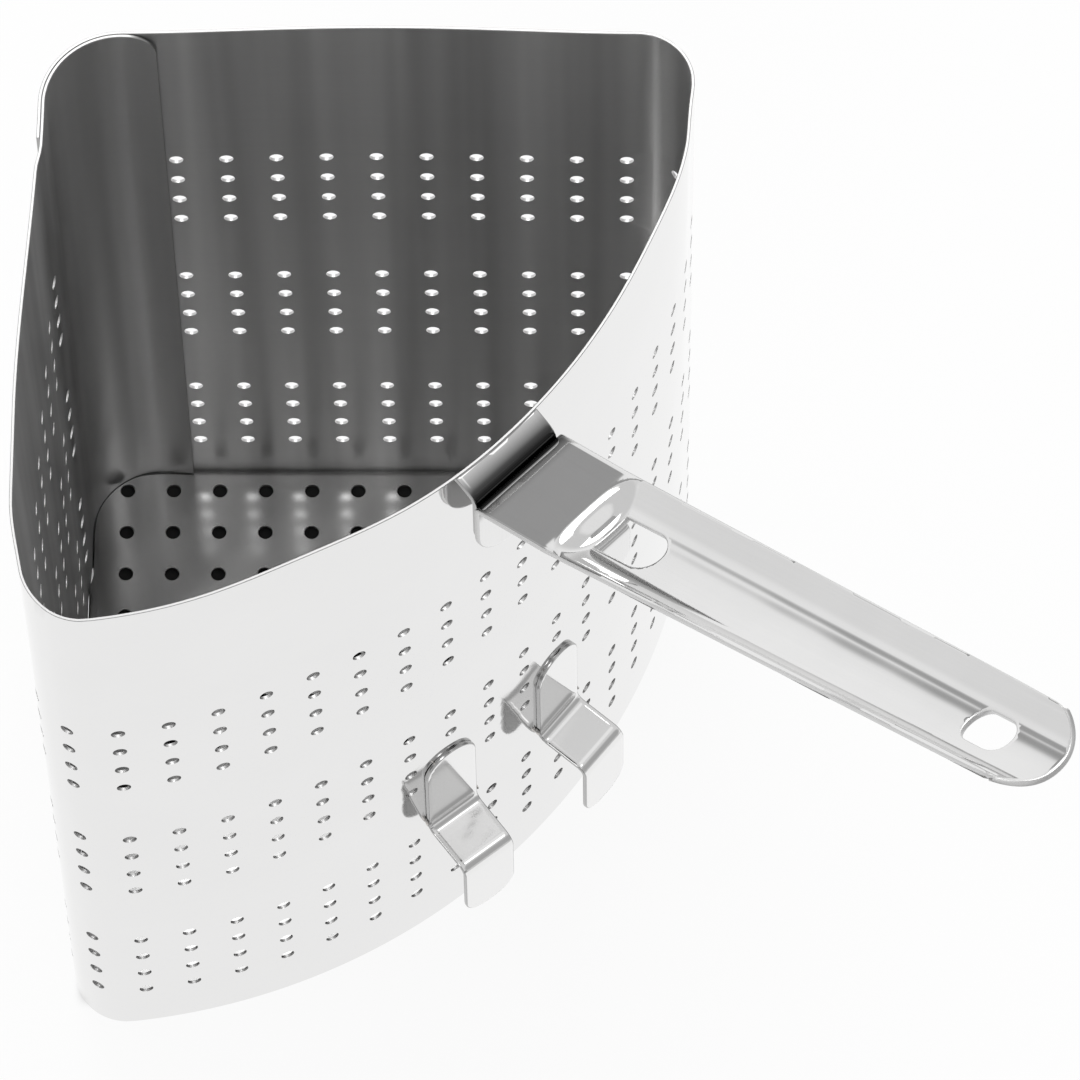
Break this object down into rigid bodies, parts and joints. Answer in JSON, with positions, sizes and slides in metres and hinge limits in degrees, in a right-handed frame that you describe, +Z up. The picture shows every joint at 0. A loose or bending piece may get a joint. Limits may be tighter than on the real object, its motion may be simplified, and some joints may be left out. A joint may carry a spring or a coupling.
{
  "type": "quarter pasta strainer insert",
  "caption": "Quarter-circle perforated steel strainer insert with a rim bracket, a long pressed handle and lower hooks, for a round pasta pot.",
  "frame": {"origin": "foot of the curved front wall, mid-thickness, straight below the handle; the insert stands on z = 0", "axes": "+X from the pot's axis out through the handle, +Y towards the back wall's corner, +Z up"},
  "size_m": [0.3344, 0.2139, 0.3329],
  "materials": {
    "polished_sheet": "polished stainless sheet, near-white outside, brushed grey inside",
    "brushed_sheet": "fine-grained stainless sheet, dull",
    "pressed_steel": "thicker stainless strip, smooth and satin-bright"
  },
  "bodies": {
    "root": {"back_wall": "polished_sheet", "left_wall": "polished_sheet", "front_wall": "polished_sheet", "back_corner_bend": "polished_sheet", "left_corner_bend": "polished_sheet", "apex_bend": "polished_sheet", "apex_lap": "polished_sheet", "bottom_pan": "brushed_sheet", "rim_bracket": "pressed_steel", "handle": "pressed_steel", "lower_hook_left": "pressed_steel", "lower_hook_right": "pressed_steel"}
  },
  "joints": []
}
